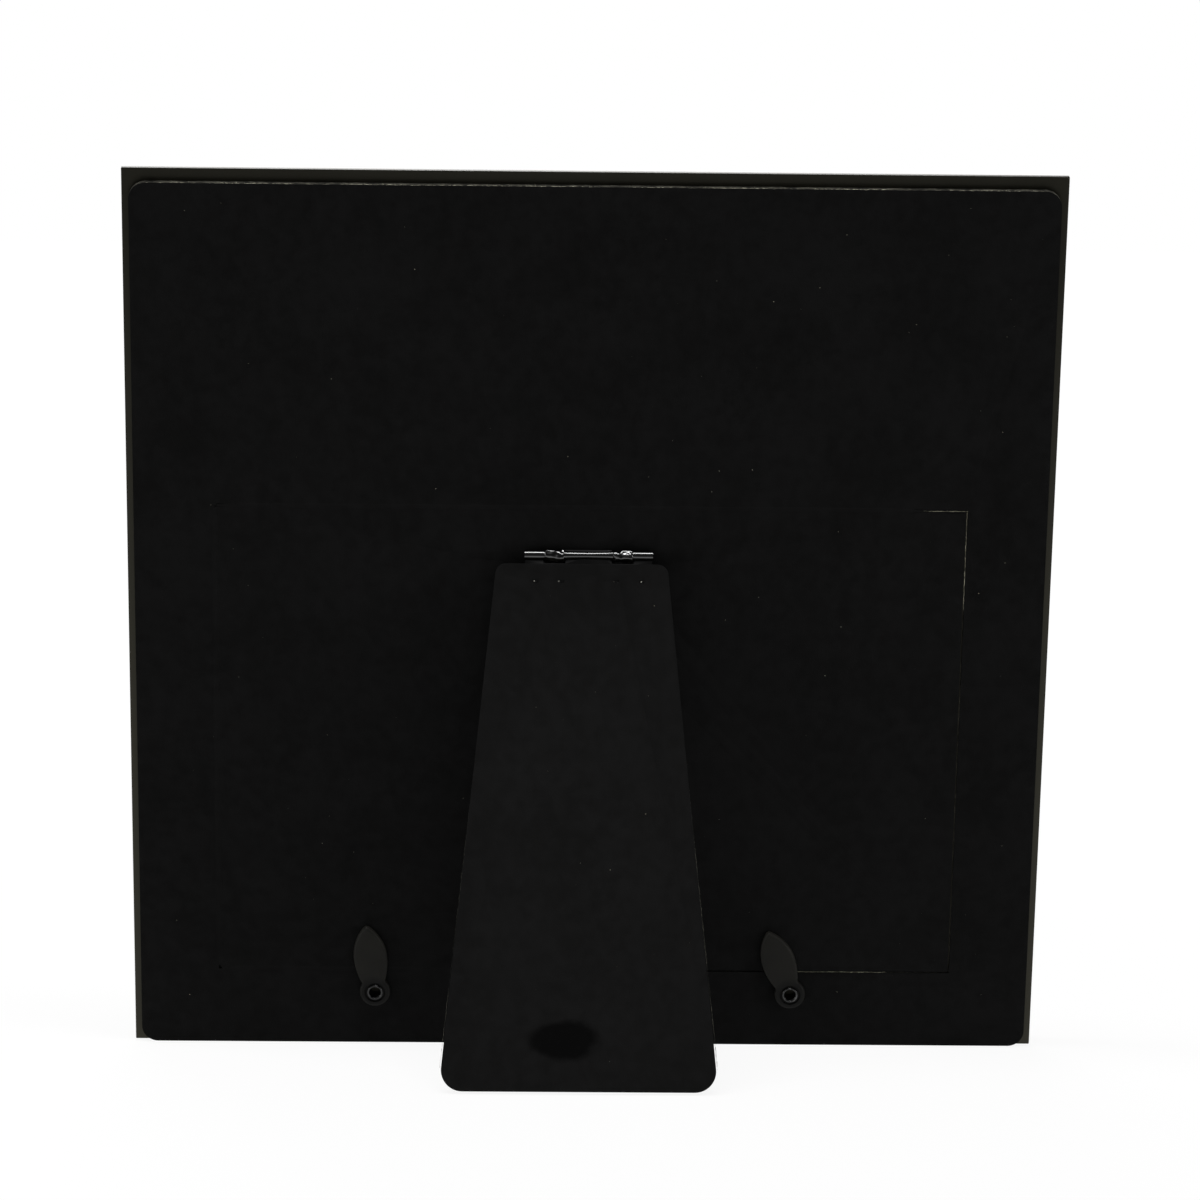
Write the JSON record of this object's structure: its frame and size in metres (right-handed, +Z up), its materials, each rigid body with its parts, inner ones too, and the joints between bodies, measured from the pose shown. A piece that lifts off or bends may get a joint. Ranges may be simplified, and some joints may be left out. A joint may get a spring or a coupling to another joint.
{
  "type": "easel back photo frame",
  "caption": "Square tabletop picture frame with a black backing board, a hinged tapered easel leg, a hinged door for the print and leaf-shaped turn buttons.",
  "frame": {"origin": "on the surface the frame stands on, under the middle of the whole standing frame", "axes": "+X to the viewer's right when facing the display front, +Y to the rear where the leg stands, +Z up"},
  "size_m": [0.2032, 0.064, 0.1987],
  "materials": {
    "panel": "black satin lacquer on fibreboard",
    "glass": "clear",
    "print_paper": "blank",
    "pad": "plain corrugated pad",
    "tape": "double sided tape",
    "board": "black fibreboard with fibrous cut edges",
    "suede_paper": "black flocked",
    "hinge_steel": "gloss black",
    "button_plastic": "matte black",
    "eyelet_steel": "black, worn bright on the rim"
  },
  "bodies": {
    "frame": {"front_panel": "panel", "glass_pane": "glass", "photo_insert": "print_paper", "filler_pad": "pad", "board_tape": "tape", "back_board": "board", "door_board": "board", "cover_sheet": "suede_paper", "hinge_door_leaf": "hinge_steel", "eyelet_left": "eyelet_steel", "eyelet_right": "eyelet_steel"},
    "leg": {"hinge_leg_leaf": "hinge_steel", "leg_front_cover": "suede_paper", "leg_board": "board", "leg_rear_cover": "suede_paper"},
    "left_button": {"turn_button_left": "button_plastic"},
    "right_button": {"turn_button_right": "button_plastic"}
  },
  "joints": [
    {"name": "leg_hinge", "type": "hinge", "parent": "frame", "child": "leg", "pos_m": [0.0005, 0.00501, 0.11433], "axis": [1, 0, 0], "range_deg": [-25, 0]},
    {"name": "left_button_turn", "type": "hinge", "parent": "frame", "child": "left_button", "pos_m": [0.0473, -0.01892, 0.0126], "axis": [0, 0.9764, -0.2158], "continuous": true},
    {"name": "right_button_turn", "type": "hinge", "parent": "frame", "child": "right_button", "pos_m": [-0.0465, -0.01892, 0.0126], "axis": [0, 0.9764, -0.2158], "continuous": true}
  ]
}
